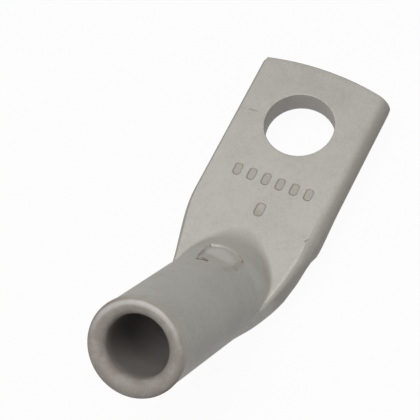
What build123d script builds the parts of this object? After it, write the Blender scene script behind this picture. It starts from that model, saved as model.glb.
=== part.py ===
from build123d import *
import os
from math import cos, radians, sin, sqrt, tan

# A tinned copper cable lug, pressed from one piece of tube. All lengths are in millimetres.
# The origin is the centre of the stud hole on the palm's back. +Z points out of the palm's front,
# +Y points to the palm's sheared end, and the barrel rises at the other end.
# A place is a distance along the lug's middle line, counted from the start of the bend to the mouth.

# Tube that the lug is made of
bore_diameter = 5.7
barrel_wall = 1.5

# Palm, with the tube's two walls pressed together
palm_width = 13.0
palm_thickness = 2.5
hole_diameter = 6.5
hole_off_middle = 0.2
hole_to_end = 6.4
hole_to_narrowing = 9.4
end_arc_radius = 25.0

# Bend, with the corner where the middle lines of the palm and of the barrel cross
bend_angle = 45.0
bend_radius = 6.2
hole_to_bend_corner = 17.7

# Shoulder, where the flat palm opens into the round barrel, measured from the corner
corner_to_round = 5.0
wings_to_corner = 2.2
crease_to_corner = 2.8
corner_to_crease_end = 1.0
belly_to_corner = 7.0
corner_to_full_belly = 1.0
shoulder_off_middle = 0.15
dome_blend = 1.2
dome_spread = 0.6
dome_lead = 0.97
least_flank = 0.3
station_spacing = 1.0

# How far the shoulder's ends stay inside the palm's sides and the barrel's wall
joint_step = 0.02

# Hollow, narrowing from the bore to a flat slit between the pressed walls
slit_past_bend_start = 2.6
slit_width = 0.1

# Barrel, measured along its middle line from the corner of the bend
corner_to_mouth = 20.0
flare = 0.08
flare_length = 2.4
lip_chamfer = 0.25
funnel_radius = 1.0

# Line left in the end face where the two pressed walls meet
seam_width = 0.1
seam_depth = 0.2

# Shallow dent in the top of the barrel, deeper at its end by the palm
dent_width = 3.4
dent_length = 4.4
dent_depth = 0.42
dent_tilt = 4.5
dent_corner_radius = 0.7
dent_off_middle = -0.1
corner_to_dent = 0.9

barrel_radius = bore_diameter / 2 + barrel_wall
shoulder_radius = barrel_radius - joint_step
half_thickness = palm_thickness / 2
turn = radians(bend_angle)
tangent_length = bend_radius * tan(turn / 2)
bend_length = bend_radius * turn
bend_start = hole_to_bend_corner - tangent_length
bend_corner = Vector(0, -hole_to_bend_corner, half_thickness)
barrel_ahead = Vector(0, -cos(turn), sin(turn))
barrel_up = Vector(0, sin(turn), cos(turn))
palm_end = hole_to_narrowing - bend_start
corner_place = bend_length - tangent_length
round_start = corner_place + corner_to_round
mouth = corner_place + corner_to_mouth
quarter_turn = radians(90)
eighth_turn = radians(45)


def mix(first, second, share):
    return first + (second - first) * share


def ramp(place, start, end):
    """Smooth step from 0 at the start to 1 at the end."""
    share = min(max((place - start) / (end - start), 0.0), 1.0)
    return share * share * (3 - 2 * share)


def smooth_top(first, second):
    """The larger of two heights, rounded where they cross."""
    near = max(1 - abs(first - second) / dome_blend, 0.0)
    return max(first, second) + near * near * dome_blend / 4


def arc_handle(angle):
    """Length of a curve's handle, as a share of the radius, where the curve follows an arc."""
    return 4 / 3 * tan(angle / 4)


def bend_at(place):
    return min(max(place / bend_radius, 0.0), turn)


def plane_at(place):
    """Plane across the lug, with its X sideways and its Y to the front."""
    angle = bend_at(place)
    before = min(place, 0.0)
    beyond = max(place - bend_length, 0.0)
    widening = ramp(place, palm_end, round_start)
    x = 4 * shoulder_off_middle * widening * (1 - widening)
    y = -bend_start - before - bend_radius * sin(angle) - beyond * cos(turn)
    z = half_thickness + bend_radius * (1 - cos(angle)) + beyond * sin(turn)
    return Plane(origin=(x, y, z), x_dir=(1, 0, 0), z_dir=(0, -cos(angle), sin(angle)))


def over_barrel_axis(place):
    """Height of the middle line over the straight line through the barrel."""
    return (plane_at(place).origin - bend_corner).dot(barrel_up)


def crown_at(place):
    """Height of the front over the middle line: the palm's flat front, then the barrel's top line."""
    palm_front = (palm_thickness - plane_at(place).origin.Z) / cos(bend_at(place))
    barrel_top = (shoulder_radius - over_barrel_axis(place)) / cos(turn - bend_at(place))
    return smooth_top(palm_front, barrel_top)


def half_curves(half_width, side_radius, side_angle, height, flank, crown):
    """Curves from an outline's outermost point to its middle: a rounded side, then a flank."""
    edge = Vector(half_width - side_radius, 0) + Vector(cos(side_angle), sin(side_angle)) * side_radius
    outer = Vector(half_width, 0)
    slope = Vector(-sin(side_angle), cos(side_angle))
    handle = side_radius * arc_handle(side_angle)
    return [
        [outer, outer + Vector(0, handle), edge - slope * handle, edge],
        [edge, edge + slope * flank, Vector(crown, height), Vector(0, height)],
    ]


def front_half(place, half_width, inset, least):
    """Right half of a front: a flat wing with a dome beside it, turning into the barrel's round."""
    radius = shoulder_radius - inset
    tilt = turn - bend_at(place)
    roundness = ramp(place, corner_place - wings_to_corner, round_start)
    opening = ramp(place, corner_place - crease_to_corner, corner_place + corner_to_crease_end)
    side_radius = max(mix(half_thickness, shoulder_radius, roundness) - inset, least)
    side_angle = mix(quarter_turn, eighth_turn, opening)
    height = max(crown_at(place) - inset, least)
    edge_height = side_radius * sin(side_angle)
    edge_across = half_width - side_radius * (1 - cos(side_angle))
    over_axis = edge_height * cos(tilt) + over_barrel_axis(place)
    reach = sqrt(max(radius * radius - over_axis * over_axis, 0.0)) + dome_spread * (1 - roundness)
    to_dome = (edge_across - dome_lead * reach) / sin(side_angle)
    flank = max(mix(to_dome, side_radius * arc_handle(eighth_turn), roundness), least_flank)
    rise = max(height - edge_height - flank * cos(side_angle), 0.0)
    crown = max(sqrt(2 / 3 * rise * radius * cos(tilt)), radius * arc_handle(eighth_turn))
    return half_curves(half_width, side_radius, side_angle, height, flank, crown)


def back_half(place, half_width, inset, least):
    """Right half of a back: flat under the palm, then a belly as round as the barrel."""
    belly = ramp(place, corner_place - belly_to_corner, corner_place + corner_to_full_belly)
    radius = max(mix(half_thickness, shoulder_radius, belly) - inset, least)
    side_angle = mix(quarter_turn, eighth_turn, belly)
    edge_across = half_width - radius * (1 - cos(side_angle))
    flank = mix(0.42 * edge_across, radius * arc_handle(eighth_turn), belly)
    crown = mix(0.4 * edge_across, radius * arc_handle(eighth_turn), belly)
    return half_curves(half_width, radius, side_angle, radius, flank, crown)


def curve_edge(curve):
    flat = max(point.Y for point in curve) - min(point.Y for point in curve) < 1e-6
    return Edge.make_line(curve[0], curve[-1]) if flat else Edge.make_bezier(*curve)


def outline(plane, front, back):
    """Face inside a closed outline, from the right halves of its front and its back."""
    right = [[Vector(point.X, -point.Y) for point in reversed(curve)] for curve in reversed(back)] + front
    left = [[Vector(-point.X, point.Y) for point in reversed(curve)] for curve in reversed(right)]
    return plane * Face(Wire([curve_edge(curve) for curve in right + left]))


def section(place, inset=0.0, least=0.0):
    """Section of the lug, or of its hollow where an inset is given, with a least half height."""
    widening = ramp(place, palm_end, round_start)
    half_width = mix(palm_width / 2 - joint_step, shoulder_radius, widening) - inset
    front = front_half(place, half_width, inset, least)
    back = back_half(place, half_width, inset, least)
    return outline(plane_at(place), front, back)


def places_between(start, end):
    count = round((end - start) / station_spacing)
    return [mix(start, end, i / count) for i in range(count + 1)]


def palm():
    end = Plane(origin=(0, hole_to_end, half_thickness), x_dir=(1, 0, 0), z_dir=(0, -1, 0))
    flat = extrude(end * SlotOverall(palm_width, palm_thickness), amount=hole_to_end + hole_to_narrowing)
    end_circle = Pos(0, hole_to_end - end_arc_radius, 0) * Circle(end_arc_radius)
    return flat & extrude(end_circle, amount=palm_thickness)


def shoulder():
    return loft([section(place) for place in places_between(palm_end, round_start)])


def barrel():
    """The round barrel with its flared mouth, turned upright under the mouth and then put in its place."""
    bore_radius = bore_diameter / 2
    mouth_radius = barrel_radius + flare
    foot = round_start - mouth
    handle = funnel_radius * (1 - arc_handle(quarter_turn))
    flare_side = Spline(
        (barrel_radius, -flare_length),
        (mouth_radius, -lip_chamfer),
        tangents=[(0, 1), (flare, flare_length / 2)],
    )
    lip = Polyline(
        (mouth_radius, -lip_chamfer),
        (mouth_radius - lip_chamfer, 0),
        (bore_radius + funnel_radius, 0),
    )
    funnel = Bezier(
        (bore_radius + funnel_radius, 0),
        (bore_radius + handle, 0),
        (bore_radius, -handle),
        (bore_radius, -funnel_radius),
    )
    walls = Polyline(
        (bore_radius, -funnel_radius),
        (bore_radius, foot),
        (barrel_radius, foot),
        (barrel_radius, -flare_length),
    )
    profile = make_face(flare_side + lip + funnel + walls)
    return plane_at(mouth) * revolve(Plane.XZ * profile, Axis.Z)


def slit():
    """The part of the bore that was pressed towards a slit, with the walls kept to their thickness."""
    stations = []
    for place in places_between(-slit_past_bend_start, round_start):
        wall = mix(half_thickness, barrel_wall, ramp(place, palm_end, round_start))
        stations.append(section(place, wall, slit_width / 2))
    return loft(stations)


def seam():
    """Thin groove in the palm's end face, level with its middle."""
    half_length = palm_width / 2 - half_thickness
    sheet = Pos(0, hole_to_end, 0) * Rectangle(2 * half_length, hole_to_end)
    inner = Pos(0, hole_to_end - end_arc_radius, 0) * Circle(end_arc_radius - seam_depth)
    return Pos(0, 0, half_thickness - seam_width / 2) * extrude(sheet - inner, amount=seam_width)


def dent():
    """Rounded block that leaves the dent, with its floor flat across and rising towards the mouth."""
    floor_up = barrel_up.rotate(Axis.X, -dent_tilt)
    floor_middle = bend_corner + barrel_ahead * corner_to_dent + barrel_up * (barrel_radius - dent_depth)
    block = Pos(dent_off_middle, -dent_length / 2, barrel_wall / 2) * Box(dent_width, dent_length, barrel_wall)
    block = fillet(block.edges().filter_by(Axis.Z), dent_corner_radius)
    return Plane(origin=floor_middle, x_dir=(1, 0, 0), z_dir=floor_up) * block


def cable_lug():
    tube = (shoulder() - slit()) + barrel()
    body = palm() + tube - dent() - seam()
    return Pos(hole_off_middle, 0, 0) * body - extrude(Circle(hole_diameter / 2), amount=palm_thickness)


os.makedirs("parts", exist_ok=True)
export_step(cable_lug(), "parts/cable_lug.step")
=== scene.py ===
from math import cos, pi, radians, sin, sqrt, tan

import bmesh
import bpy
import numpy as np
from mathutils import Matrix, Vector


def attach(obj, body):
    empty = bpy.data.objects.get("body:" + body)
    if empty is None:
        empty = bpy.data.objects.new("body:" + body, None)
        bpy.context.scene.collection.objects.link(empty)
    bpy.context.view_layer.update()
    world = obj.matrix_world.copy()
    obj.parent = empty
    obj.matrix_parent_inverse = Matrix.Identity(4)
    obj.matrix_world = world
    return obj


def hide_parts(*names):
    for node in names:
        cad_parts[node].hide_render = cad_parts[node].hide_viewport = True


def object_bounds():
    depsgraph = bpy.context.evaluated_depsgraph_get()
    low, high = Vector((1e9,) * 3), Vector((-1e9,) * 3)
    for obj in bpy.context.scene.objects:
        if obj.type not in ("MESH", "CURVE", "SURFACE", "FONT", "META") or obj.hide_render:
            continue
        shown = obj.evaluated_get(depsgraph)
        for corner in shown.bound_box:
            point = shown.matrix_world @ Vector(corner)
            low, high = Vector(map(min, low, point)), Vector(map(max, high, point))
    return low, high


bl_info = {
    "name": "Cable lug",
    "version": (1, 0, 0),
    "blender": (4, 5, 0),
    "location": "3D View > Sidebar > Cable lug",
    "description": "Makes a pressed, tinned copper cable lug and the stage it is shown on",
    "category": "Object",
}

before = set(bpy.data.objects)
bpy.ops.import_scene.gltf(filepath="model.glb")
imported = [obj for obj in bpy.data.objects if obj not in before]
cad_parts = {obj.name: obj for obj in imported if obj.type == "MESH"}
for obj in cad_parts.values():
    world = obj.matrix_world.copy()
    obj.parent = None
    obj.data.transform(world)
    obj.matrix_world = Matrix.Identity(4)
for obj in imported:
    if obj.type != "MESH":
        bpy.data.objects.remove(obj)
CAD_BOX = [list(corner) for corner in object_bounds()]
LOWEST = min(corner[2] for corner in CAD_BOX)

MM = 0.001
QUARTER = pi / 2
EIGHTH = pi / 4

# Fixed sizes of the lug in millimetres, the same as those of the solid that it stands for
PALM_WIDTH = 13.0
HALF_THICKNESS = 1.25
HOLE_TO_END = 6.4
HOLE_TO_NARROWING = 9.4
HOLE_OFF_MIDDLE = 0.2
END_ARC_RADIUS = 25.0
BEND_ANGLE = radians(45)
BEND_RADIUS = 6.2
HOLE_TO_CORNER = 17.7
CORNER_TO_ROUND = 5.0
CORNER_TO_MOUTH = 20.0
BARREL_RADIUS = 4.35
BARREL_WALL = 1.5
FLARE = 0.08
FLARE_LENGTH = 2.4
SHOULDER_OFF_MIDDLE = 0.15
WINGS_TO_CORNER = 2.2
CREASE_TO_CORNER = 2.8
CORNER_TO_CREASE_END = 1.0
BELLY_TO_CORNER = 7.0
CORNER_TO_FULL_BELLY = 1.0
DOME_BLEND = 1.2
DOME_SPREAD = 0.6
DOME_LEAD = 0.97
LEAST_FLANK = 0.3
SLIT_PAST_BEND_START = 2.6
SLIT_HALF_WIDTH = 0.05

# Sizes that only the skin has: how far the dome spreads beside the barrel, up to this far before the corner,
# and how softly it meets the wings
DOME_OVERHANG = 0.35
OVERHANG_TO_CORNER = 1.0
WING_BLEND = 0.5
WING_BLEND_REACH = 3.0
SIDE_FADE = 0.6
CORNER_TO_SPLIT = 1.5

# Shares of a curve's size that its handles take
BACK_FLANK = 0.42
BACK_CROWN = 0.4
SIDE_HANDLE = 0.55
LEAST_CREST_REACH = 0.8
SHARP_OVERSHOOT = 0.12

TANGENT_LENGTH = BEND_RADIUS * tan(BEND_ANGLE / 2)
BEND_LENGTH = BEND_RADIUS * BEND_ANGLE
BEND_START = HOLE_TO_CORNER - TANGENT_LENGTH
PALM_END = HOLE_TO_NARROWING - BEND_START
CORNER_PLACE = BEND_LENGTH - TANGENT_LENGTH
ROUND_START = CORNER_PLACE + CORNER_TO_ROUND
MOUTH = CORNER_PLACE + CORNER_TO_MOUTH
CORNER = np.array([0.0, -HOLE_TO_CORNER, HALF_THICKNESS])
AHEAD = np.array([0.0, -cos(BEND_ANGLE), sin(BEND_ANGLE)])
UP = np.array([0.0, sin(BEND_ANGLE), cos(BEND_ANGLE)])
MOUTH_MIDDLE = CORNER + AHEAD * CORNER_TO_MOUTH + np.array([HOLE_OFF_MIDDLE, 0, 0])

# Points along each flank of a section, round each side, and across a front while it is worked out
FLANK_STEPS = 48
SIDE_STEPS = 12
FRONT_STEPS = 700

# Rings on the palm up to the stamps and over them, each as two places along +Y and a number, and where the
# sheared end's arc fades in
PALM_RINGS = (5.9, -4.8, 30)
STAMP_RINGS = (-4.95, -HOLE_TO_NARROWING, 28)
END_ARC_FADE = (2.0, 6.2)
# Numbers of rings on the rest of the lug, and steps in a small rounding
SHOULDER_RINGS = 116
BARREL_RINGS = 36
FLARE_RINGS = 9
LIP_RINGS = 9
FUNNEL_RINGS = 13
BORE_RINGS = 18
SLIT_RINGS = 34
ROUNDING_STEPS = 5
# Rings in the end face, as shares of the way from its edge to the seam
END_FACE_RINGS = (0.75, 0.5, 0.25)
# How far the shoulder's last section is carried on, and the gaps before the rings of the barrel, of the bore
# and of the slit
SHOULDER_RUN_ON = 0.6
GAP_TO_BARREL = 0.8
GAP_TO_BORE = 0.4
GAP_TO_SLIT = 0.2
# Share of the flare at its first ring, and the power by which it widens
FLARE_START = 0.12
FLARE_POWER = 1.5
# Distance in metres under which two points are one
WELD_DISTANCE = 1e-7

# Tables along the lug, as pairs of a distance from the corner of the bend and a value.
# The crests are the front's two long edges: how far each stands in from the side, and its turn in degrees.
RIGHT_CREST_IN = ((-18.0, 1.12), (-8.6, 1.07), (-6.6, 0.95), (-4.7, 0.66), (-3.3, 0.54), (-1.7, 0.37),
                  (-0.5, 0.29), (0.6, 0.2))
RIGHT_CREST_TURN = ((-18.0, 8.0), (-10.0, 15.0), (-6.0, 35.0), (1.0, 40.0))
LEFT_CREST_IN = ((-18.0, 0.45), (-3.0, 0.45), (0.0, 0.27), (1.0, 0.2))
LEFT_CREST_TURN = ((0.0, 72.0),)
# How sharp the back's right edge is, and how much slimmer the shoulder is on its right
BACK_EDGE = ((-18.0, 0.3), (-11.0, 0.4), (-9.3, 0.65), (-7.0, 0.95), (-6.5, 0.9), (-5.6, 0.1), (-4.8, 0.05),
             (-3.6, 0.4), (-1.6, 0.55), (0.0, 0.15), (1.0, 0.0))
RIGHT_SLIMNESS = ((-0.5, 0.0), (1.0, 0.1), (2.0, 0.19), (3.0, 0.16), (4.2, 0.08), (5.0, 0.0))

# The dent in the barrel's top, for each distance across it: where its end by the palm lies, how wide the wall
# is there, and the share of the full depth
DENT_END = ((-1.8, 0.8), (-0.2, 0.9), (1.0, 1.2), (1.5, 1.35), (1.9, 1.9))
DENT_WALL = ((-1.1, 0.11), (-0.2, 0.35), (1.5, 0.6))
DENT_DEPTH = ((-1.8, 0.9), (-1.0, 1.0), (-0.2, 0.5), (1.0, 0.25), (1.8, 0.15))
# Its other edges, each from untouched to fully pressed, the slant of the left one, and the height over the
# barrel's middle line from which the surface is pressed
DENT_FAR_EDGE = (6.2, 3.4)
DENT_RIGHT_EDGE = (1.9, 1.45)
DENT_LEFT_EDGE = (-1.78, -1.6)
DENT_LEFT_SLANT = 0.1
DENT_LEAST_HEIGHT = 3.0

# Middles of the row of stamped pads and of the single one, and the width and height of that one, in metres
STAMP_ROW_MIDDLE = (0.0003, -0.0064, 0.0025)
SINGLE_STAMP = {"Count": 1, "Width": 0.00095, "Height": 0.0016, "Middle": (0.0004, -0.0095, 0.0025)}

# Inputs of the stamp's nodes, a corner's radius as a share of the pad's width, and the steps round a corner
STAMP_INPUTS = (
    ("Count", "NodeSocketInt"), ("Spacing", "NodeSocketFloat"), ("Width", "NodeSocketFloat"),
    ("Height", "NodeSocketFloat"), ("Depth", "NodeSocketFloat"), ("Slope", "NodeSocketFloat"),
    ("Middle", "NodeSocketVector"), ("Finish", "NodeSocketMaterial"),
)
STAMP_CORNER = 0.42
STAMP_CORNER_STEPS = 5

# Points round the hole, and how far its cutter reaches past the palm's faces, in metres
HOLE_STEPS = 128
PUNCH_REACH = 0.001

# Fewest faces of a skin that came whole out of its cuts, and the angle from which an edge is shaded sharp
LEAST_FACES = 10000
SHARP_ANGLE = radians(26)

# Noises of the finish as scale, detail and roughness, and the levels from which to which each is seen
BLOTCHES, BLOTCH_LEVELS = (0.35, 4.0, 0.55), (0.3, 0.7)
MOTTLE, MOTTLE_LEVELS = (1.5, 4.0, 0.6), (0.5, 0.8)
LIP_WEAR, LIP_WEAR_LEVELS = (1.1, 3.0, 0.65), (0.42, 0.68)
GRAIN = (4.5, 3.0, 0.6)
MIDDLE_LEVEL = 0.5
ROUGHNESS_SPREAD = 0.16
SPECULAR = 0.35

# How dull each zone makes the tin: the blotches and the grain are its own, the rest is painted shade by the
# sheared end, on the palm's sides and under the barrel
BLOTCH_DULLNESS = 0.3
GRAIN_DULLNESS = 1.3
END_SHADE = 0.45
SIDE_SHADE = 0.7
UNDER_SHADE = 0.6
# How strongly the other zones are coloured: painted light on the hole's wall, painted shade in the stamps and
# below the lip, painted highlights on the lip's crest, in the dent and along the right crest, and the tin's
# own colours elsewhere
HOLE_PAINTED_LIGHT = 0.8
STAMP_SHADE = 0.22
STAMP_WALL_SHADE = 0.32
SIDE_COPPER = 0.16
MOTTLE_WARMTH = 0.2
LIP_TIN = 0.32
LIP_CREST_HIGHLIGHT = 0.55
LOWER_LIP_SHADE = 0.35
EDGE_COPPER = 0.85
UPPER_EDGE_TIN = 0.85
DENT_HIGHLIGHT_STRENGTH = 0.75
CREST_HIGHLIGHT_STRENGTH = 0.35

# Zones of the finish in millimetres, each from where it starts to where it is full, and where four are given
# on to where it starts to fade and to where it ends.
# First by height over the palm's back, then by +Y, +X and the distance from the hole's middle.
SIDE_HEIGHTS = (2.48, 2.1)
STAMP_FLOOR_HEIGHTS = (2.3, 2.36, 2.46, 2.495)
STAMP_WALL_HEIGHTS = (2.4, 2.43)
SIDES_FROM_BEND = (-18.0, -16.5)
TO_SHEARED_END = (-7.0, 6.0)
STAMPS_FROM_BEND = (-12.0, -11.0)
STAMPS_FROM_RIGHT = (4.9, 4.8)
HOLE_WALL = (3.36, 3.28)
# Then by the distance from the mouth, which is negative towards the palm
BARREL_PART = (-18.5, -16.5)
LIP_PART = (-0.55, -0.1)
THROAT_PART = (-6.0, -5.0)
BORE_START = (-0.7, -2.2)
BORE_END = (-16.5, -15.5)
BORE_PALING = (-5.0, -14.0)
CREST_PART = (-0.6, -0.2)
EDGE_PART = (-0.95, -0.6)
# Then by the distance from the barrel's middle line
THROAT_RADII = (4.05, 3.95)
BORE_RADII = (3.2, 2.95)
CREST_RADII = (3.65, 3.95, 4.1, 4.3)
EDGE_RADII = (4.18, 4.4)
# Last by a distance across the barrel in a direction of its own, given as shares of +X and of its top
UNDER_WAY, UNDER_REACH = (0.88, -0.47), (2.6, 4.2)
CREST_WAY, CREST_REACH = (-0.25, 0.95), (0.0, 3.4)
LOWER_WAY, LOWER_REACH = (0.0, 1.0), (-1.0, -4.0)
UPPER_WAY, UPPER_REACH = (0.5, 0.85), (-0.5, 3.0)

# Share of a line's width that has its full strength
LINE_CORE = 0.4
# Where the right crest gets a painted highlight, as points of the part, and where the dent does, along and
# across the barrel
CREST_HIGHLIGHT = ((5.62, -11.5, 2.5), (5.6, -13.0, 2.5), (5.25, -15.8, 2.48), (4.9, -17.8, 2.45))
CREST_HIGHLIGHT_WIDTH = 0.13
DENT_HIGHLIGHT = ((2.3, -0.9), (3.4, 0.6))
DENT_HIGHLIGHT_WIDTH = 1.3
# Scratches on the palm and the shoulder: strength, width, both ends, and depth in metres
PALM_NICKS = (
    (0.4, 0.13, (3.0, -13.6, 2.9), (3.15, -13.75, 2.85), 0.00004),
    (0.4, 0.11, (3.45, -13.95, 2.85), (3.7, -14.2, 2.75), 0.00004),
    (0.6, 0.14, (5.55, -10.9, 2.45), (5.7, -10.6, 2.4), 0.0),
    (0.35, 0.07, (-4.94, -0.21, 2.5), (-4.24, -0.15, 2.5), 0.00003),
)
# Dark lines around the dent: strength, width, and both ends as distances along and across the barrel. The
# third and fourth, along its left edge, are painted shade on its left wall; the others are marks and
# scratches.
DENT_MARKS_AND_SHADE = (
    (0.75, 0.24, (6.2, -0.95), (6.1, -0.1)), (0.6, 0.3, (5.6, -0.65), (5.9, -0.2)),
    (0.45, 0.14, (1.8, -1.75), (4.8, -1.3)), (0.35, 0.13, (4.8, -1.3), (6.2, -0.95)),
    (0.5, 0.13, (1.55, 1.35), (1.8, 1.82)), (0.5, 0.13, (1.8, 1.82), (2.25, 1.92)),
    (0.18, 0.42, (2.25, 1.92), (4.0, 2.0)), (0.14, 0.42, (4.0, 2.0), (5.6, 1.6)),
)

# Each lamp's name, its place and size in metres, and the setting that holds its power
LAMPS = (
    ("top light", (-0.05, -0.12, 0.6), 0.35, "top_light"),
    ("right light", (0.4, 0.1, 0.4), 0.3, "right_light"),
    ("front light", (0.15, -0.6, 0.35), 0.5, "front_light"),
)
LAMP_AIM = (0.0, -0.01, 0.0)

# The camera's directions and place, and its lens
CAMERA_RIGHT = (0.8994, 0.4304, -0.0760)
CAMERA_UP = (-0.3427, 0.8023, 0.4887)
CAMERA_BACK = (0.2713, -0.4135, 0.8691)
CAMERA_PLACE = (0.060086, -0.108424, 0.207140)
SENSOR_WIDTH = 36
FOCAL_LENGTH = 222.363
SHIFT = (-0.00137, -0.00674)
CLIP_START = 0.01


def srgb(red, green, blue):
    """Colour for a shader, from the 0 to 255 values it is seen as."""
    channels = []
    for value in (red, green, blue):
        share = value / 255
        channels.append(share / 12.92 if share <= 0.04045 else ((share + 0.055) / 1.055) ** 2.4)
    return tuple(channels) + (1.0,)


def length_property(name, description, default):
    return bpy.props.FloatProperty(
        name=name, description=description, default=default, unit="LENGTH", precision=6)


def share_property(name, description, default, highest=1.0):
    return bpy.props.FloatProperty(
        name=name, description=description, default=default, min=0, max=highest)


def power_property(name, description, default):
    return bpy.props.FloatProperty(name=name, description=description, default=default, min=0, precision=3)


def colour_property(name, description, default):
    return bpy.props.FloatVectorProperty(
        name=name, description=description, default=default, size=4, min=0, max=1, subtype="COLOR")


class LugSizes(bpy.types.PropertyGroup):
    hole_radius: length_property("Hole radius", "Radius of the stud hole", 0.00325)
    hole_rounding: length_property("Hole rounding", "Rounding of the hole's two edges", 0.00012)
    sheared_rounding: length_property("End rounding", "Rounding of the palm's sheared end", 0.00014)
    lip_radius: length_property("Lip radius", "Outer rounding of the barrel's mouth", 0.0006)
    funnel_radius: length_property("Funnel radius", "Rounding from the mouth into the bore", 0.00095)
    seam_depth: length_property("Seam depth", "Depth of the line between the two pressed walls", 0.0002)
    dent_depth: length_property("Dent depth", "Greatest depth of the dent, at its end by the palm", 0.00024)
    stamp_depth: length_property("Stamp depth", "Depth of the stamped pads in the palm", 0.0001)
    stamp_slope: share_property("Stamp slope", "How much smaller a pad is at its bottom", 0.28, 0.5)
    stamp_width: length_property("Stamp width", "Width of one stamped pad in the row", 0.00082)
    stamp_height: length_property("Stamp height", "Height of one stamped pad in the row", 0.0014)
    stamp_spacing: length_property("Stamp spacing", "Distance from pad to pad", 0.00142)
    stamp_count: bpy.props.IntProperty(
        name="Stamps", description="Number of pads in the row", default=6, min=1)


class LugFinish(bpy.types.PropertyGroup):
    tin: colour_property("Tin", "Matte tin on the palm and the barrel", srgb(186, 183, 176))
    # Dull tin is the tin's own dullness and also the painted shade on the palm's sides, by the sheared end
    # and under the barrel.
    dull_tin_and_shade: colour_property("Dull tin", "Greyer tin where the plating is thicker", srgb(168, 165, 158))
    # Highlight tin is the colour of painted light: on the hole's wall, the lip's crest, the dent's floor and
    # the right crest.
    highlight_tin: colour_property("Bright tin", "Tin rubbed smooth, and the hole's wall", srgb(206, 203, 199))
    warm_tin: colour_property("Warm tin", "Thin tin over copper at the mouth", srgb(148, 140, 134))
    # Copper brown is also the colour of the painted shade in the stamps and along the dent's left edge.
    copper_brown: colour_property("Copper brown", "Copper that shows through the tin", srgb(118, 98, 86))
    # The bore's colours are painted shade by the mouth, also used below the lip, and painted light deep in
    # the bore.
    bore_near: colour_property("Bore by the mouth", "Dull surface of the bore", srgb(120, 115, 112))
    bore_deep: colour_property("Deep bore", "Paler surface deep in the bore", srgb(236, 231, 228))
    metallic: share_property("Metallic", "How metallic the tin is", 0.12)
    roughness: share_property("Roughness", "Roughness of the tin", 0.6)
    grain: length_property("Grain", "Height of the fine grain in the plating", 0.000004)
    unevenness: length_property("Unevenness", "Height of the soft unevenness left by pressing", 0.000012)


class StageSettings(bpy.types.PropertyGroup):
    floor: colour_property("Floor", "Colour that the floor throws back", (0.55, 0.55, 0.55, 1.0))
    whiteness: share_property("Whiteness", "How white the floor is seen, against its own shade", 0.955)
    floor_size: length_property("Floor size", "Side of the square floor", 3.0)
    top_light: power_property("Top light", "Power of the large soft light above", 3.1)
    right_light: power_property("Right light", "Power of the soft light behind the lug on its right", 0.12)
    front_light: power_property("Front light", "Power of the soft light in front of the mouth", 0.2)
    surround: power_property("Surround", "Strength of the even light around", 0.19)


# Shape of the lug, worked out in millimetres


def mix(first, second, share):
    return first + (second - first) * share


def ramp(value, start, end):
    """Smooth step from 0 at the start to 1 at the end, of one value or of many."""
    share = np.clip((value - start) / (end - start), 0, 1)
    return share * share * (3 - 2 * share)


def arc_handle(angle):
    return 4 / 3 * tan(angle / 4)


def bend_at(place):
    return min(max(place / BEND_RADIUS, 0.0), BEND_ANGLE)


def middle_at(place):
    """Point of the lug's middle line, and the directions across it that point sideways and to the front."""
    angle = bend_at(place)
    widening = ramp(place, PALM_END, ROUND_START)
    beyond = max(place - BEND_LENGTH, 0.0)
    y = -BEND_START - min(place, 0.0) - BEND_RADIUS * sin(angle) - beyond * cos(BEND_ANGLE)
    z = HALF_THICKNESS + BEND_RADIUS * (1 - cos(angle)) + beyond * sin(BEND_ANGLE)
    point = np.array([4 * SHOULDER_OFF_MIDDLE * widening * (1 - widening), y, z])
    return point, np.array([1.0, 0, 0]), np.array([0, sin(angle), cos(angle)])


def over_barrel_axis(place):
    """Height of the middle line over the straight line through the barrel."""
    return float((middle_at(place)[0] - CORNER) @ UP)


def palm_front_at(place):
    """Height of the palm's front over the middle line, in the section's own direction."""
    return (2 * HALF_THICKNESS - middle_at(place)[0][2]) / cos(bend_at(place))


def crown_at(place):
    """Height of a round front over the middle line: the palm's flat front, then the barrel's top line."""
    palm_front = palm_front_at(place)
    barrel_top = (BARREL_RADIUS - over_barrel_axis(place)) / cos(BEND_ANGLE - bend_at(place))
    near = max(1 - abs(palm_front - barrel_top) / DOME_BLEND, 0.0)
    return max(palm_front, barrel_top) + near * near * DOME_BLEND / 4


def bezier(points, steps=120):
    """Points of a curve that is given by its two ends with a handle each."""
    share = np.linspace(0, 1, steps)[:, None]
    rest = 1 - share
    start, first, second, end = (np.array(point, float) for point in points)
    by_start = rest ** 3 * start + 3 * rest ** 2 * share * first
    return by_start + 3 * rest * share * share * second + share ** 3 * end


def on_barrel(along, across):
    """Point of the barrel's top, from its distances along the barrel and across it."""
    rise = sqrt(BARREL_RADIUS ** 2 - across ** 2)
    return tuple(CORNER + AHEAD * along + UP * rise + np.array([across + HOLE_OFF_MIDDLE, 0, 0]))


def evenly(curve, steps):
    """The curve again, as evenly spaced points."""
    run = np.r_[0, np.cumsum(np.linalg.norm(np.diff(curve, axis=0), axis=1))]
    wanted = np.linspace(0, run[-1], steps + 1)
    return np.c_[np.interp(wanted, run, curve[:, 0]), np.interp(wanted, run, curve[:, 1])]


def value_at(pairs, place):
    """Value from a table of pairs, at a distance from the corner of the bend."""
    return float(np.interp(place - CORNER_PLACE, [pair[0] for pair in pairs], [pair[1] for pair in pairs]))


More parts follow.
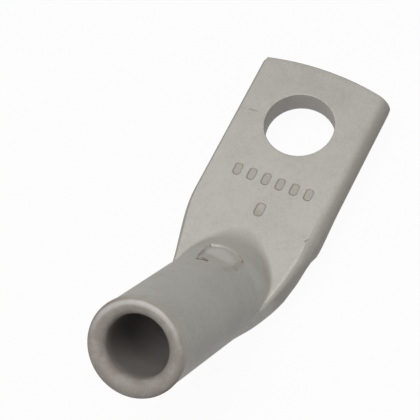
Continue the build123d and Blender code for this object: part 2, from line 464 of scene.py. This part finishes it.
def half_outline(half_width, side_radius, side_angle, height, flank, crown, sharp=0.0):
    """Points from the outermost point, round the side and along the flank to the middle."""
    outer = np.array([half_width, 0.0])
    edge = np.array([half_width - side_radius * (1 - cos(side_angle)), side_radius * sin(side_angle)])
    slope = np.array([-sin(side_angle), cos(side_angle)])
    handle = side_radius * arc_handle(side_angle)
    corner = np.array([half_width, side_radius * tan(side_angle / 2)])
    first = mix(outer + (0, handle), corner + SHARP_OVERSHOOT * (corner - outer), sharp)
    second = mix(edge - slope * handle, corner + SHARP_OVERSHOOT * (corner - edge), sharp)
    side = bezier([outer, first, second, edge], SIDE_STEPS + 1)
    top = bezier([edge, edge + slope * flank, (crown, height), (0, height)])
    return np.vstack([side, evenly(top, FLANK_STEPS)[1:]])


def side_to_crest(half_width, height, crest_in, crest_turn):
    """Points from the outermost point up the side to the crest, where the side meets the flat front."""
    crest = np.array([half_width - crest_in, height])
    turn = radians(crest_turn)
    reach = SIDE_HANDLE * max(crest_in, LEAST_CREST_REACH * height)
    handle = reach * np.array([cos(turn), -sin(turn)])
    curve = [(half_width, 0), (half_width, SIDE_HANDLE * height), crest + handle, crest]
    return bezier(curve, SIDE_STEPS + 1)


def round_front(place, half_width, inset, least):
    """Half of a front of the hollow: fully rounded at its side, with the dome between."""
    radius = BARREL_RADIUS - inset
    tilt = BEND_ANGLE - bend_at(place)
    roundness = ramp(place, CORNER_PLACE - WINGS_TO_CORNER, ROUND_START)
    opening = ramp(place, CORNER_PLACE - CREASE_TO_CORNER, CORNER_PLACE + CORNER_TO_CREASE_END)
    side_radius = max(mix(HALF_THICKNESS, BARREL_RADIUS, roundness) - inset, least)
    side_angle = mix(QUARTER, EIGHTH, opening)
    height = max(crown_at(place) - inset, least)
    edge_height = side_radius * sin(side_angle)
    edge_across = half_width - side_radius * (1 - cos(side_angle))
    over_axis = edge_height * cos(tilt) + over_barrel_axis(place)
    reach = sqrt(max(radius * radius - over_axis * over_axis, 0.0)) + DOME_SPREAD * (1 - roundness)
    to_dome = (edge_across - DOME_LEAD * reach) / sin(side_angle)
    flank = max(mix(to_dome, side_radius * arc_handle(EIGHTH), roundness), LEAST_FLANK)
    rise = max(height - edge_height - flank * cos(side_angle), 0.0)
    crown = max(sqrt(2 / 3 * rise * radius * cos(tilt)), radius * arc_handle(EIGHTH))
    return half_outline(half_width, side_radius, side_angle, height, flank, crown)


def skin_front(place, half_width, crest_in, crest_turn):
    """Half of a front of the skin: a side up to its crest, a flat wing, and the barrel rising over it."""
    tilt = BEND_ANGLE - bend_at(place)
    level = max(palm_front_at(place), 0.0)
    inset = value_at(crest_in, place)
    side = side_to_crest(half_width, level, inset, value_at(crest_turn, place))
    across = half_width * np.cos(np.linspace(0, QUARTER, FRONT_STEPS))
    wing = np.interp(-across, -side[:, 0], side[:, 1])
    overhang = DOME_OVERHANG * ramp(place, BEND_LENGTH, CORNER_PLACE - OVERHANG_TO_CORNER)
    reach = min(BARREL_RADIUS + overhang, half_width)
    round_part = np.sqrt(np.maximum(1 - (across / reach) ** 2, 0.0)) * BARREL_RADIUS
    dome = (round_part - over_barrel_axis(place)) / cos(tilt)
    blend = mix(WING_BLEND, DOME_BLEND, ramp(across, WING_BLEND_REACH, 0.0))
    near = np.maximum(1 - abs(wing - dome) / blend, 0.0)
    rounding = near * near * blend / 4 * np.clip((half_width - across) / SIDE_FADE, 0, 1)
    height = np.maximum(wing, dome) + rounding
    roundness = ramp(place, CORNER_PLACE + CORNER_TO_SPLIT, ROUND_START)
    split = mix(half_width - inset, BARREL_RADIUS * cos(EIGHTH), roundness)
    first = max(int(np.argmin(abs(across - split))), 2)
    curve = np.c_[across, height]
    return np.vstack([evenly(curve[:first + 1], SIDE_STEPS), evenly(curve[first:], FLANK_STEPS)[1:]])


def back_half(place, half_width, inset=0.0, least=0.0, sharp=0.0):
    """Half of a back: flat under the palm, then a belly as round as the barrel."""
    belly = ramp(place, CORNER_PLACE - BELLY_TO_CORNER, CORNER_PLACE + CORNER_TO_FULL_BELLY)
    radius = max(mix(HALF_THICKNESS, BARREL_RADIUS, belly) - inset, least)
    side_angle = mix(QUARTER, EIGHTH, belly)
    edge_across = half_width - radius * (1 - cos(side_angle))
    flank = mix(BACK_FLANK * edge_across, radius * arc_handle(EIGHTH), belly)
    crown = mix(BACK_CROWN * edge_across, radius * arc_handle(EIGHTH), belly)
    return half_outline(half_width, radius, side_angle, radius, flank, crown, sharp)


def closed_outline(right_front, right_back, left_front=None, left_back=None):
    """One closed outline from halves that are all drawn to the right, starting at the front's middle."""
    left_front = right_front if left_front is None else left_front
    left_back = right_back if left_back is None else left_back
    right = np.vstack([right_front[::-1], (right_back * (1, -1))[1:]])
    left = np.vstack([left_front[::-1], (left_back * (1, -1))[1:]])
    return np.vstack([right, (left * (-1, 1))[1:-1][::-1]])


def placed(outline, place):
    point, across, to_front = middle_at(place)
    return point + outline[:, :1] * across + outline[:, 1:] * to_front


def half_width_at(place):
    return mix(PALM_WIDTH / 2, BARREL_RADIUS, ramp(place, PALM_END, ROUND_START))


def skin_section(place):
    """Section of the outside, with the edges that the press left on each side."""
    left = half_width_at(place)
    right = max(left - value_at(RIGHT_SLIMNESS, place), BARREL_RADIUS)
    return closed_outline(
        skin_front(place, right, RIGHT_CREST_IN, RIGHT_CREST_TURN),
        back_half(place, right, sharp=value_at(BACK_EDGE, place)),
        skin_front(place, left, LEFT_CREST_IN, LEFT_CREST_TURN),
        back_half(place, left),
    )


def hollow_section(place):
    """Section of the hollow between the walls, pressed to a slit."""
    wall = mix(HALF_THICKNESS, BARREL_WALL, ramp(place, PALM_END, ROUND_START))
    half_width = half_width_at(place) - wall
    front = round_front(place, half_width, wall, SLIT_HALF_WIDTH)
    return closed_outline(front, back_half(place, half_width, wall, SLIT_HALF_WIDTH))


def ring(place, radius):
    """Circle across the lug, with as many points as a section has."""
    handle = radius * arc_handle(EIGHTH)
    half = half_outline(radius, radius, EIGHTH, radius, handle, handle)
    return placed(closed_outline(half, half), place)


def follow_end(points, share):
    """Points across the palm, moved back by a share of the sheared end's arc."""
    dip = END_ARC_RADIUS - np.sqrt(END_ARC_RADIUS ** 2 - points[:, 0] ** 2)
    return points - np.outer(dip * share, (0, 1, 0))


def end_ring(back, inset, thickness_inset):
    """Section by the sheared end, a distance back from it, drawn in at its sides and towards its middle."""
    place = -BEND_START - HOLE_TO_END + back
    half_width = PALM_WIDTH / 2 - max(inset, thickness_inset)
    height = HALF_THICKNESS - thickness_inset
    shrink = height / HALF_THICKNESS

    def half_end(crest_in, crest_turn):
        side = side_to_crest(half_width, height, crest_in * shrink, crest_turn)
        flat = np.linspace(side[-1], (0, height), FLANK_STEPS + 1)
        return np.vstack([side, flat[1:]])

    blunt = half_end(HALF_THICKNESS, 0.0)
    right = half_end(value_at(RIGHT_CREST_IN, place), value_at(RIGHT_CREST_TURN, place))
    left = half_end(value_at(LEFT_CREST_IN, place), value_at(LEFT_CREST_TURN, place))
    return follow_end(placed(closed_outline(right, blunt, left, blunt), place), 1.0)


def end_rings(sizes):
    """Rings from the bottom of the seam, over the sheared end face, to the palm's rounded edge."""
    rounding = sizes.sheared_rounding / MM
    slit = HALF_THICKNESS - SLIT_HALF_WIDTH
    rings = [end_ring(sizes.seam_depth / MM, 0.0, slit), end_ring(0.0, 0.0, slit)]
    for share in END_FACE_RINGS:
        rings.append(end_ring(0.0, rounding, mix(rounding, slit, share)))
    for angle in np.linspace(0, QUARTER, ROUNDING_STEPS):
        inset = rounding * (1 - sin(angle))
        rings.append(end_ring(rounding * (1 - cos(angle)), inset, inset))
    return rings


def skin_rings():
    """Rings along the palm, the shoulder and the barrel, closest together at the stamps and the dent."""
    rings = []
    for y in np.r_[np.linspace(*PALM_RINGS), np.linspace(*STAMP_RINGS)]:
        place = -BEND_START - y
        rings.append(follow_end(placed(skin_section(place), place), ramp(y, *END_ARC_FADE)))
    for place in np.linspace(PALM_END, ROUND_START + SHOULDER_RUN_ON, SHOULDER_RINGS)[1:]:
        rings.append(placed(skin_section(min(place, ROUND_START)), place))
    for place in np.linspace(ROUND_START + GAP_TO_BARREL, MOUTH - FLARE_LENGTH, BARREL_RINGS):
        rings.append(ring(place, BARREL_RADIUS))
    return rings


def mouth_rings(sizes):
    """Rings over the flare, the lip and the funnel, and down the bore to the pressed slit."""
    lip = sizes.lip_radius / MM
    funnel = sizes.funnel_radius / MM
    bore = BARREL_RADIUS - BARREL_WALL
    rim = BARREL_RADIUS + FLARE
    rings = []
    for share in np.linspace(FLARE_START, 1, FLARE_RINGS):
        place = mix(MOUTH - FLARE_LENGTH, MOUTH - lip, share)
        rings.append(ring(place, BARREL_RADIUS + FLARE * share ** FLARE_POWER))
    for angle in np.linspace(0, QUARTER, LIP_RINGS)[1:]:
        rings.append(ring(MOUTH - lip * (1 - sin(angle)), rim - lip * (1 - cos(angle))))
    for angle in np.linspace(QUARTER, 0, FUNNEL_RINGS):
        rings.append(ring(MOUTH - funnel * (1 - sin(angle)), bore + funnel * (1 - cos(angle))))
    for place in np.linspace(MOUTH - funnel - GAP_TO_BORE, ROUND_START + GAP_TO_SLIT, BORE_RINGS):
        rings.append(ring(place, bore))
    for place in np.linspace(ROUND_START, -SLIT_PAST_BEND_START, SLIT_RINGS):
        rings.append(placed(hollow_section(place), place))
    return rings


def press_dent(points, depth):
    """Lowers the barrel's top inside the dent, crisply by the palm and on its left, and softly elsewhere."""
    from_corner = points - CORNER
    along = from_corner @ AHEAD
    height = from_corner @ UP
    across = points[:, 0]
    end = np.interp(across, *zip(*DENT_END))
    share = ramp(along, end, end + np.interp(across, *zip(*DENT_WALL))) * ramp(along, *DENT_FAR_EDGE)
    share *= ramp(across - DENT_LEFT_SLANT * along, *DENT_LEFT_EDGE) * ramp(across, *DENT_RIGHT_EDGE)
    drop = depth * np.interp(across, *zip(*DENT_DEPTH)) * share * (height > DENT_LEAST_HEIGHT)
    return points - drop[:, None] * UP


def tube_faces(rows, count):
    """Faces between rows of points, each of which closes on itself."""
    faces = []
    for i in range(rows - 1):
        for j in range(count):
            k = (j + 1) % count
            faces.append((i * count + j, i * count + k, (i + 1) * count + k, (i + 1) * count + j))
    return faces


def bridge(rings):
    """Vertices and faces of the skin through the rings, with both of its ends closed across the section."""
    count = len(rings[0])
    vertices = np.vstack(rings)
    faces = tube_faces(len(rings), count)
    half = count // 2
    last = (len(rings) - 1) * count
    for start, turned in ((0, True), (last, False)):
        for j in range(half // 2):
            pair = (j, j + 1, half - j - 1, half - j)
            mirror = ((count - j) % count, count - j - 1, half + j + 1, half + j)
            for quad, flip in ((pair, turned), (mirror, not turned)):
                corners = [start + index for index in dict.fromkeys(quad)]
                if len(corners) > 2:
                    faces.append(tuple(corners if flip else corners[::-1]))
    return vertices, faces


def mesh_object(name, vertices, faces):
    mesh = bpy.data.meshes.new(name)
    mesh.from_pydata([tuple(vertex) for vertex in vertices], [], faces)
    made = bmesh.new()
    made.from_mesh(mesh)
    bmesh.ops.remove_doubles(made, verts=made.verts, dist=WELD_DISTANCE)
    bmesh.ops.recalc_face_normals(made, faces=made.faces)
    made.to_mesh(mesh)
    made.free()
    thing = bpy.data.objects.new(name, mesh)
    bpy.context.scene.collection.objects.link(thing)
    return thing


def hole_punch(sizes):
    """Cutter for the stud hole, spread at both faces so that it leaves rounded edges."""
    radius = sizes.hole_radius
    rounding = sizes.hole_rounding
    top = 2 * HALF_THICKNESS * MM
    profile = [(radius + rounding, -PUNCH_REACH)]
    for angle in np.linspace(0, QUARTER, ROUNDING_STEPS):
        profile.append((radius + rounding * (1 - sin(angle)), rounding * (1 - cos(angle))))
    for angle in np.linspace(0, QUARTER, ROUNDING_STEPS):
        profile.append((radius + rounding * (1 - cos(angle)), top - rounding * (1 - sin(angle))))
    profile.append((radius + rounding, top + PUNCH_REACH))
    vertices = []
    for wide, height in profile:
        for i in range(HOLE_STEPS):
            turn = 2 * pi * i / HOLE_STEPS
            vertices.append((wide * cos(turn), wide * sin(turn), height))
    faces = tube_faces(len(profile), HOLE_STEPS)
    faces.append(tuple(range(HOLE_STEPS)))
    faces.append(tuple(range(len(vertices) - HOLE_STEPS, len(vertices))))
    return mesh_object("hole_punch", vertices, faces)


# Stamped pads, repeated along a line


def stamp_tree():
    """Geometry nodes that repeat a rounded pad along a line, each smaller at its bottom than at its top."""
    tree = bpy.data.node_groups.new("Row of stamped pads", "GeometryNodeTree")
    tree.interface.new_socket("Geometry", in_out="OUTPUT", socket_type="NodeSocketGeometry")
    for name, kind in STAMP_INPUTS:
        tree.interface.new_socket(name, in_out="INPUT", socket_type=kind)
    given = tree.nodes.new("NodeGroupInput").outputs
    out = tree.nodes.new("NodeGroupOutput")

    def add(kind, links=None, values=None, settings=None):
        node = tree.nodes.new(kind)
        for name, value in (settings or {}).items():
            setattr(node, name, value)
        for name, value in (values or {}).items():
            node.inputs[name].default_value = value
        for name, socket in (links or {}).items():
            tree.links.new(socket, node.inputs[name])
        return node.outputs[0]

    def maths(operation, first, second):
        node = tree.nodes.new("ShaderNodeMath")
        node.operation = operation
        for i, value in enumerate((first, second)):
            if isinstance(value, (int, float)):
                node.inputs[i].default_value = value
            else:
                tree.links.new(value, node.inputs[i])
        return node.outputs[0]

    gaps = maths("SUBTRACT", given["Count"], 1)
    back = maths("MULTIPLY", maths("MULTIPLY", gaps, given["Spacing"]), -0.5)
    start = add("ShaderNodeCombineXYZ", {"X": back})
    shifted = add("ShaderNodeVectorMath", {0: start, 1: given["Middle"]}, settings={"operation": "ADD"})
    step = add("ShaderNodeCombineXYZ", {"X": given["Spacing"]})
    line = add("GeometryNodeMeshLine", {"Count": given["Count"], "Start Location": shifted, "Offset": step})
    sides = {"Width": given["Width"], "Height": given["Height"]}
    outline = add("GeometryNodeCurvePrimitiveQuadrilateral", sides)
    corner = maths("MULTIPLY", given["Width"], STAMP_CORNER)
    rounding = {"Curve": outline, "Radius": corner}
    round_outline = add("GeometryNodeFilletCurve", rounding, {"Count": STAMP_CORNER_STEPS}, {"mode": "POLY"})
    low = add("ShaderNodeCombineXYZ", {"Z": maths("MULTIPLY", given["Depth"], -1.0)})
    high = add("ShaderNodeCombineXYZ", {"Z": given["Depth"]})
    way = add("GeometryNodeCurvePrimitiveLine", {"Start": low, "End": high})
    rise = maths("SUBTRACT", add("GeometryNodeSplineParameter"), 0.5)
    widening = maths("MULTIPLY", maths("MULTIPLY", rise, given["Slope"]), 2.0)
    along_way = {"Curve": way, "Profile Curve": round_outline, "Scale": maths("ADD", widening, 1.0)}
    pad = add("GeometryNodeCurveToMesh", along_way, {"Fill Caps": True})
    pads = add("GeometryNodeInstanceOnPoints", {"Points": line, "Instance": pad})
    real = add("GeometryNodeRealizeInstances", {"Geometry": pads})
    painted = add("GeometryNodeSetMaterial", {"Geometry": real, "Material": given["Finish"]})
    tree.links.new(painted, out.inputs[0])
    return tree


def stamp_punch(name, tree, settings):
    """Cutter made by the stamp tree, as a plain mesh."""
    carrier = mesh_object(name + "_carrier", [], [])
    modifier = carrier.modifiers.new("pads", "NODES")
    modifier.node_group = tree
    sockets = {item.name: item.identifier for item in tree.interface.items_tree if item.in_out == "INPUT"}
    for key, value in settings.items():
        modifier[sockets[key]] = value
    return flattened(carrier, name)


def flattened(thing, name):
    """The object as its modifiers leave it, as one plain mesh, with the first one removed."""
    bpy.context.view_layer.update()
    mesh = bpy.data.meshes.new_from_object(thing.evaluated_get(bpy.context.evaluated_depsgraph_get()))
    mesh.name = name
    bpy.data.objects.remove(thing)
    plain = bpy.data.objects.new(name, mesh)
    bpy.context.scene.collection.objects.link(plain)
    return plain


def cut(body, punches, name):
    """The body with every punch cut out of it."""
    for punch in punches:
        modifier = body.modifiers.new(punch.name, "BOOLEAN")
        modifier.operation = "DIFFERENCE"
        modifier.solver = "EXACT"
        modifier.object = punch
    result = flattened(body, name)
    for punch in punches:
        bpy.data.objects.remove(punch)
    return result


# Shader nodes, written as sums


class Wire:
    """A shader socket that adds Math nodes when it is used in a sum."""

    def __init__(self, paint, socket):
        self.paint = paint
        self.socket = socket

    def sum(self, operation, first, second):
        return self.paint.node("ShaderNodeMath", {"operation": operation}, {0: first, 1: second})

    def __add__(self, other):
        return self.sum("ADD", self, other)

    def __radd__(self, other):
        return self.sum("ADD", other, self)

    def __sub__(self, other):
        return self.sum("SUBTRACT", self, other)

    def __rsub__(self, other):
        return self.sum("SUBTRACT", other, self)

    def __mul__(self, other):
        return self.sum("MULTIPLY", self, other)

    def __rmul__(self, other):
        return self.sum("MULTIPLY", other, self)


class Paint:
    """One material and its nodes."""

    def __init__(self, name):
        self.material = bpy.data.materials.new(name)
        self.material.use_nodes = True
        self.tree = self.material.node_tree
        self.tree.nodes.clear()

    def node(self, kind, settings=None, sockets=None, output=0):
        made = self.tree.nodes.new(kind)
        for key, value in (settings or {}).items():
            setattr(made, key, value)
        for key, value in (sockets or {}).items():
            if isinstance(value, Wire):
                self.tree.links.new(value.socket, made.inputs[key])
            else:
                made.inputs[key].default_value = value
        return Wire(self, made.outputs[output])

    def finished(self, surface):
        output = self.tree.nodes.new("ShaderNodeOutputMaterial")
        self.tree.links.new(surface.socket, output.inputs["Surface"])
        return self.material

    def step(self, value, start, end):
        """0 at the start and 1 at the end, with a smooth way between them."""
        kind = {"interpolation_type": "SMOOTHSTEP", "clamp": True}
        return self.node("ShaderNodeMapRange", kind, {"Value": value, "From Min": start, "From Max": end})

    def band(self, value, start, full, last, end):
        """1 between full and last, with a smooth way to 0 at the start and at the end."""
        return self.step(value, start, full) * self.step(value, end, last)

    def clamped(self, value):
        return self.node("ShaderNodeClamp", {}, {"Value": value})

    def noise(self, place, scale, detail, roughness):
        sockets = {"Vector": place, "Scale": scale, "Detail": detail, "Roughness": roughness}
        return self.node("ShaderNodeTexNoise", {}, sockets)

    def blend(self, share, first, second):
        """The first colour, going over to the second by the share."""
        first, second = (colour if isinstance(colour, Wire) else tuple(colour) for colour in (first, second))
        return self.node("ShaderNodeMix", {"data_type": "RGBA"}, {0: share, 6: first, 7: second}, 2)

    def vector(self, operation, first, second=None, output=0):
        sockets = {0: first} if second is None else {0: first, 1: second}
        return self.node("ShaderNodeVectorMath", {"operation": operation}, sockets, output)

    def near_line(self, place, start, end, width):
        """1 close to a straight scratch between two points, 0 away from it."""
        start, end = np.array(start), np.array(end)
        run = end - start
        from_start = self.vector("SUBTRACT", place, tuple(start))
        along = self.vector("DOT_PRODUCT", from_start, tuple(run / (run @ run)), "Value")
        held = self.clamped(along)
        point = self.node("ShaderNodeVectorMath", {"operation": "SCALE"}, {0: tuple(run), "Scale": held})
        away = self.vector("DISTANCE", from_start, point, "Value")
        return 1 - self.step(away, width * LINE_CORE, width)


class Places:
    """Where a point of the surface is, for the masks: on the part, and seen from the mouth."""

    def __init__(self, paint):
        self.paint = paint
        in_metres = paint.node("ShaderNodeTexCoord", output="Object")
        self.point = paint.vector("MULTIPLY", in_metres, (1 / MM,) * 3)
        self.x, self.y, self.z = (
            paint.node("ShaderNodeSeparateXYZ", {}, {"Vector": self.point}, i) for i in range(3))
        self.from_mouth = paint.vector("SUBTRACT", self.point, tuple(MOUTH_MIDDLE))
        self.along = paint.vector("DOT_PRODUCT", self.from_mouth, tuple(AHEAD), "Value")
        beside = paint.vector("CROSS_PRODUCT", self.from_mouth, tuple(AHEAD))
        self.radius = paint.vector("LENGTH", beside, output="Value")

    def across(self, way):
        """Distance across the barrel in a direction given as shares of +X and of the barrel's top."""
        direction = tuple(np.array([way[0], 0, 0]) + UP * way[1])
        return self.paint.vector("DOT_PRODUCT", self.from_mouth, direction, "Value")


def outside_colour(paint, finish, at, blotches, mottle, grain):
    """Tin outside and in the hole, with painted shade by the sheared end, on the palm's sides, under the
    barrel and in the stamps, and painted light on the hole's wall.
    """
    # Painted shade on the palm's sides, towards the sheared end and under the barrel, added to the tin's own
    # blotches and grain.
    sides = paint.step(at.z, *SIDE_HEIGHTS) * paint.step(at.y, *SIDES_FROM_BEND)
    under = paint.step(at.across(UNDER_WAY), *UNDER_REACH) * paint.step(at.along, *BARREL_PART)
    dullness_and_shade = paint.step(blotches, *BLOTCH_LEVELS) * BLOTCH_DULLNESS + sides * SIDE_SHADE
    dullness_and_shade = dullness_and_shade + paint.step(at.y, *TO_SHEARED_END) * END_SHADE + under * UNDER_SHADE
    dullness_and_shade = dullness_and_shade + (grain - MIDDLE_LEVEL) * GRAIN_DULLNESS
    colour = paint.blend(paint.clamped(dullness_and_shade), finish.tin, finish.dull_tin_and_shade)
    # Painted light on the hole's wall.
    from_hole = paint.vector("LENGTH", paint.vector("MULTIPLY", at.point, (1, 1, 0)), output="Value")
    colour = paint.blend(paint.step(from_hole, *HOLE_WALL) * HOLE_PAINTED_LIGHT, colour, finish.highlight_tin)
    # Painted shade in the stamped pads, strongest on their walls.
    stamped = paint.band(at.z, *STAMP_FLOOR_HEIGHTS) * paint.step(at.x, *STAMPS_FROM_RIGHT)
    stamped = stamped * paint.step(at.y, *STAMPS_FROM_BEND)
    stamp_shade = stamped * (paint.step(at.z, *STAMP_WALL_HEIGHTS) * STAMP_WALL_SHADE + STAMP_SHADE)
    colour = paint.blend(stamp_shade, colour, finish.copper_brown)
    colour = paint.blend(sides * SIDE_COPPER, colour, finish.copper_brown)
    return paint.blend(paint.step(mottle, *MOTTLE_LEVELS) * MOTTLE_WARMTH, colour, finish.warm_tin)


def mouth_colour(paint, finish, at, colour):
    """The mouth's thin tin worn to copper at its edge, with a painted highlight on its crest and painted
    shade below, and the bore, in painted shade by the mouth and painted light deeper in.
    """
    lip = paint.step(at.along, *LIP_PART)
    throat = paint.step(at.radius, *THROAT_RADII) * paint.step(at.along, *THROAT_PART)
    left_tin = paint.step(paint.noise(at.point, *LIP_WEAR), *LIP_WEAR_LEVELS) * LIP_TIN
    worn = paint.blend(left_tin, finish.warm_tin, finish.tin)
    colour = paint.blend(lip + throat * (1 - lip), colour, worn)
    # The bore: painted shade by the mouth, going over to painted light deep inside.
    inside = paint.step(at.radius, *BORE_RADII) * paint.step(at.along, *BORE_START)
    inside = inside * paint.step(at.along, *BORE_END)
    bore = paint.blend(paint.step(at.along, *BORE_PALING), finish.bore_near, finish.bore_deep)
    colour = paint.blend(inside, colour, bore)
    # Painted highlight on the upper part of the lip's crest.
    crest = paint.band(at.radius, *CREST_RADII) * paint.step(at.across(CREST_WAY), *CREST_REACH)
    crest = crest * paint.step(at.along, *CREST_PART)
    colour = paint.blend(crest * LIP_CREST_HIGHLIGHT, colour, finish.highlight_tin)
    lower = paint.step(at.across(LOWER_WAY), *LOWER_REACH)
    colour = paint.blend(lower * lip * LOWER_LIP_SHADE, colour, finish.bore_near)
    upper = paint.step(at.across(UPPER_WAY), *UPPER_REACH)
    edge = paint.step(at.radius, *EDGE_RADII) * paint.step(at.along, *EDGE_PART)
    edge = edge * (1 - upper * UPPER_EDGE_TIN)
    return paint.blend(edge * EDGE_COPPER, colour, finish.copper_brown)


def tin_material(finish):
    """Tin over copper: dull or worn through, with its grain and its scratches, and with painted shade and
    painted highlights.
    """
    paint = Paint("matte tin on copper")
    at = Places(paint)
    blotches = paint.noise(at.point, *BLOTCHES)
    mottle = paint.noise(at.point, *MOTTLE)
    grain = paint.noise(at.point, *GRAIN)
    colour = outside_colour(paint, finish, at, blotches, mottle, grain)
    colour = mouth_colour(paint, finish, at, colour)

    # Painted highlights on the dent's floor and along the right crest.
    start, end = (on_barrel(*place) for place in DENT_HIGHLIGHT)
    painted_highlights = paint.near_line(at.point, start, end, DENT_HIGHLIGHT_WIDTH) * DENT_HIGHLIGHT_STRENGTH
    for start, end in zip(CREST_HIGHLIGHT, CREST_HIGHLIGHT[1:]):
        painted_highlights = painted_highlights + paint.near_line(at.point, start, end, CREST_HIGHLIGHT_WIDTH) * CREST_HIGHLIGHT_STRENGTH
    colour = paint.blend(paint.clamped(painted_highlights), colour, finish.highlight_tin)

    relief = grain * finish.grain + blotches * finish.unevenness
    marks_and_shade = []
    for strength, width, start, end, depth in PALM_NICKS:
        nick = paint.near_line(at.point, start, end, width)
        marks_and_shade.append(nick * strength)
        relief = relief - nick * depth
    # Dark lines by the dent; those along its left edge are painted shade.
    for strength, width, start, end in DENT_MARKS_AND_SHADE:
        nick = paint.near_line(at.point, on_barrel(*start), on_barrel(*end), width)
        marks_and_shade.append(nick * strength)
    colour = paint.blend(paint.clamped(sum(marks_and_shade)), colour, finish.copper_brown)

    bump = paint.node("ShaderNodeBump", {}, {"Strength": 1.0, "Distance": 1.0, "Height": relief})
    shader = paint.node("ShaderNodeBsdfPrincipled", {}, {
        "Base Color": colour,
        "Metallic": finish.metallic,
        "Specular IOR Level": SPECULAR,
        "Roughness": (mottle - MIDDLE_LEVEL) * ROUGHNESS_SPREAD + finish.roughness,
        "Normal": bump,
    })
    return paint.finished(shader)


# Operators, one for each piece and one for the stage


class LUG_OT_make_lug(bpy.types.Operator):
    """Makes the lug's skin, punches its hole and its stamps, and gives it its tin"""

    bl_idname = "lug.make_lug"
    bl_label = "Lug"

    def execute(self, context):
        sizes = context.scene.lug_sizes
        outside = end_rings(sizes) + skin_rings()
        vertices, faces = bridge(outside + mouth_rings(sizes))
        outer = len(outside) * len(outside[0])
        vertices[:outer] = press_dent(vertices[:outer], sizes.dent_depth / MM)
        vertices[:, 0] += HOLE_OFF_MIDDLE
        vertices = np.clip(vertices, np.min(CAD_BOX, axis=0) / MM, np.max(CAD_BOX, axis=0) / MM)
        body = mesh_object("lug_skin", vertices * MM, faces)
        finish = tin_material(context.scene.lug_finish)
        body.data.materials.append(finish)
        tree = stamp_tree()
        row = {"Count": sizes.stamp_count, "Spacing": sizes.stamp_spacing, "Width": sizes.stamp_width,
               "Height": sizes.stamp_height, "Depth": sizes.stamp_depth, "Slope": sizes.stamp_slope,
               "Middle": STAMP_ROW_MIDDLE, "Finish": finish}
        punches = [hole_punch(sizes), stamp_punch("stamp_row", tree, row)]
        punches.append(stamp_punch("stamp_single", tree, {**row, **SINGLE_STAMP}))
        lug = cut(body, punches, "lug")
        if len(lug.data.polygons) < LEAST_FACES:
            raise RuntimeError("the lug's skin lost its faces when it was punched")
        lug.data.polygons.foreach_set("use_smooth", [True] * len(lug.data.polygons))
        lug.data.set_sharp_from_angle(angle=SHARP_ANGLE)
        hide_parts("cable_lug")
        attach(lug, "root")
        return {"FINISHED"}


class LUG_OT_make_stage(bpy.types.Operator):
    """Makes the pale floor, the soft lights and the camera"""

    bl_idname = "lug.make_stage"
    bl_label = "Stage"

    def execute(self, context):
        stage = context.scene.lug_stage
        half = stage.floor_size / 2
        corners = [(-half, -half, LOWEST), (half, -half, LOWEST), (half, half, LOWEST), (-half, half, LOWEST)]
        floor = mesh_object("floor", corners, [(0, 1, 2, 3)])
        floor.data.materials.append(floor_material(stage))
        for name, place, size, power in LAMPS:
            add_light(name, place, size, getattr(stage, power))
        world = bpy.data.worlds.new("even surround")
        world.use_nodes = True
        background = world.node_tree.nodes["Background"]
        background.inputs["Color"].default_value = (1, 1, 1, 1)
        background.inputs["Strength"].default_value = stage.surround
        context.scene.world = world
        context.scene.view_settings.view_transform = "Standard"
        add_camera(context.scene)
        return {"FINISHED"}


def floor_material(stage):
    paint = Paint("pale floor")
    matte = paint.node("ShaderNodeBsdfDiffuse", {}, {"Color": tuple(stage.floor)})
    glow = paint.node("ShaderNodeEmission", {}, {"Color": (1, 1, 1, 1), "Strength": 1.0})
    seen = paint.node("ShaderNodeLightPath", output="Is Camera Ray")
    for kind in ("Is Glossy Ray", "Is Transmission Ray"):
        seen = seen + paint.node("ShaderNodeLightPath", output=kind)
    mixed = paint.node("ShaderNodeMixShader", {}, {0: seen * stage.whiteness, 1: matte, 2: glow})
    return paint.finished(mixed)


def add_light(name, place, size, power):
    data = bpy.data.lights.new(name, "AREA")
    data.shape = "SQUARE"
    data.size = size
    data.energy = power
    light = bpy.data.objects.new(name, data)
    light.location = place
    light.rotation_euler = (Vector(LAMP_AIM) - Vector(place)).to_track_quat("-Z", "Y").to_euler()
    bpy.context.scene.collection.objects.link(light)


def add_camera(scene):
    data = bpy.data.cameras.new("view")
    data.sensor_width = SENSOR_WIDTH
    data.lens = FOCAL_LENGTH
    data.shift_x, data.shift_y = SHIFT
    data.clip_start = CLIP_START
    camera = bpy.data.objects.new("view", data)
    rows = zip(CAMERA_RIGHT, CAMERA_UP, CAMERA_BACK, CAMERA_PLACE)
    camera.matrix_world = Matrix((*rows, (0, 0, 0, 1)))
    scene.collection.objects.link(camera)
    scene.camera = camera


class LUG_PT_panel(bpy.types.Panel):
    """Sizes, finish and stage of the cable lug"""

    bl_label = "Cable lug"
    bl_idname = "LUG_PT_panel"
    bl_space_type = "VIEW_3D"
    bl_region_type = "UI"
    bl_category = "Cable lug"

    def draw(self, context):
        for group in (context.scene.lug_sizes, context.scene.lug_finish, context.scene.lug_stage):
            box = self.layout.box()
            for name in group.__annotations__:
                box.prop(group, name)
        self.layout.operator("lug.make_lug")
        self.layout.operator("lug.make_stage")


CLASSES = (LugSizes, LugFinish, StageSettings, LUG_OT_make_lug, LUG_OT_make_stage, LUG_PT_panel)


def register():
    for kind in CLASSES:
        bpy.utils.register_class(kind)
    bpy.types.Scene.lug_sizes = bpy.props.PointerProperty(type=LugSizes)
    bpy.types.Scene.lug_finish = bpy.props.PointerProperty(type=LugFinish)
    bpy.types.Scene.lug_stage = bpy.props.PointerProperty(type=StageSettings)


def unregister():
    del bpy.types.Scene.lug_stage
    del bpy.types.Scene.lug_finish
    del bpy.types.Scene.lug_sizes
    for kind in reversed(CLASSES):
        bpy.utils.unregister_class(kind)


def main():
    register()
    bpy.ops.lug.make_stage()
    bpy.ops.lug.make_lug()


if __name__ == "__main__":
    main()
